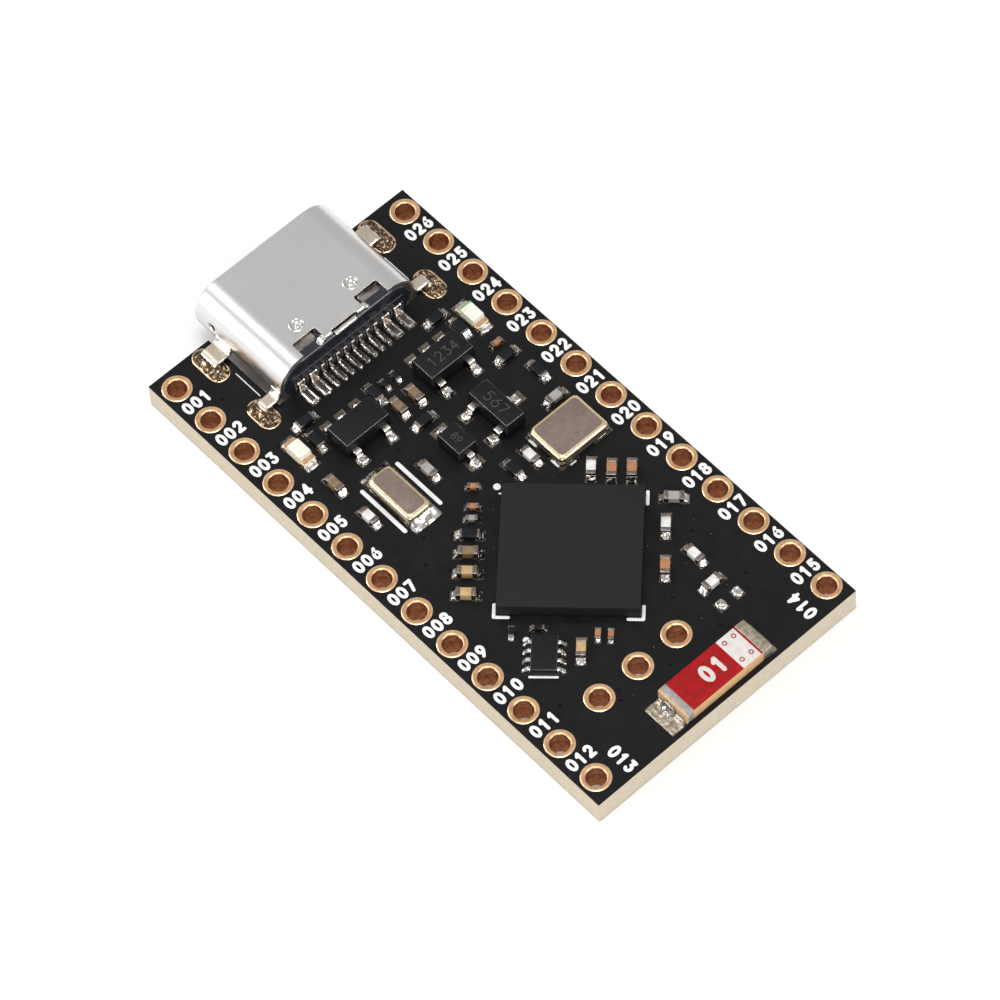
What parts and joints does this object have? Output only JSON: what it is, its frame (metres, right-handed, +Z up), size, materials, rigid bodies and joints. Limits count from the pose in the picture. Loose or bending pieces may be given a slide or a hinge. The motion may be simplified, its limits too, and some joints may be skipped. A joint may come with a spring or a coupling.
{
  "type": "microcontroller dev board",
  "caption": "Small black controller board with a sunk USB-C socket, two long rows of plated pin holes, a square main chip set at 45 degrees, crystals, chip parts and a ceramic antenna.",
  "frame": {"origin": "centre of the two long rows of pin holes, on the underside of the board", "axes": "+Z up out of the component side, +Y along the board away from the USB socket towards the antenna, +X to the side of the row seen on the left in a view from the antenna end"},
  "size_m": [0.017, 0.0339, 0.0041],
  "materials": {
    "laminate": "matt woven glass laminate",
    "solder_mask": "semi-gloss black solder mask",
    "copper_plating": "warm gold plated copper",
    "tinned_copper": "bright tin",
    "white_ink": "matt white ink",
    "shell_steel": "satin nickel plated steel",
    "connector_plastic": "satin black moulding",
    "contact_gold": "gold flash",
    "solder": "reflowed solder, bright and uneven",
    "mould_compound": "fine matt moulding compound",
    "silicon": "polished",
    "dark_ceramic": "matt fired ceramic",
    "quartz": "polished",
    "crystal_lid": "satin metal lid, rose brown tint",
    "led_base": "matt",
    "led_lens": "milky resin",
    "antenna_ceramic": "fired ceramic",
    "red_coat": "glazed red coat",
    "white_coat": "matt white coat",
    "silver_paste": "tarnished fired silver",
    "tan_ceramic": "fired ceramic",
    "orange_ceramic": "fired ceramic",
    "white_ceramic": "fired ceramic",
    "resistor_black": "glazed black coat"
  },
  "bodies": {
    "root": {"board_laminate": "laminate", "solder_mask_top": "solder_mask", "solder_mask_bottom": "solder_mask", "barrel_plating_left": "copper_plating", "barrel_plating_right": "copper_plating", "barrel_plating_end": "copper_plating", "slot_plating": "copper_plating", "via_barrels": "copper_plating", "smd_pads": "tinned_copper", "silkscreen_marks": "white_ink", "usb_shell": "shell_steel", "usb_housing": "connector_plastic", "usb_tongue": "connector_plastic", "usb_mid_plate": "shell_steel", "usb_contacts_upper": "contact_gold", "usb_contacts_lower": "contact_gold", "usb_leg_solder": "solder", "mcu_package": "mould_compound", "mcu_die": "silicon", "mcu_lands": "tinned_copper", "watch_crystal_base": "dark_ceramic", "watch_crystal_blank": "quartz", "watch_crystal_lid": "crystal_lid", "main_crystal_base": "dark_ceramic", "main_crystal_blank": "quartz", "main_crystal_lid": "crystal_lid", "charger_ic_body": "mould_compound", "charger_ic_leads": "tinned_copper", "regulator_ic_body": "mould_compound", "regulator_ic_leads": "tinned_copper", "transistor_body": "mould_compound", "transistor_leads": "tinned_copper", "diode_body": "mould_compound", "diode_leads": "tinned_copper", "flash_ic_body": "mould_compound", "flash_ic_lands": "tinned_copper", "led_bases": "led_base", "led_lenses": "led_lens", "led_terminals": "contact_gold", "antenna_core": "antenna_ceramic", "antenna_coat_red": "red_coat", "antenna_coat_white": "white_coat", "antenna_terminals": "silver_paste", "capacitor_bodies_tan": "tan_ceramic", "capacitor_bodies_orange": "orange_ceramic", "capacitor_terminals": "solder", "inductor_bodies": "white_ceramic", "inductor_terminals": "solder", "resistor_bodies": "resistor_black", "resistor_terminals": "solder", "solder_joints": "solder"}
  },
  "joints": []
}
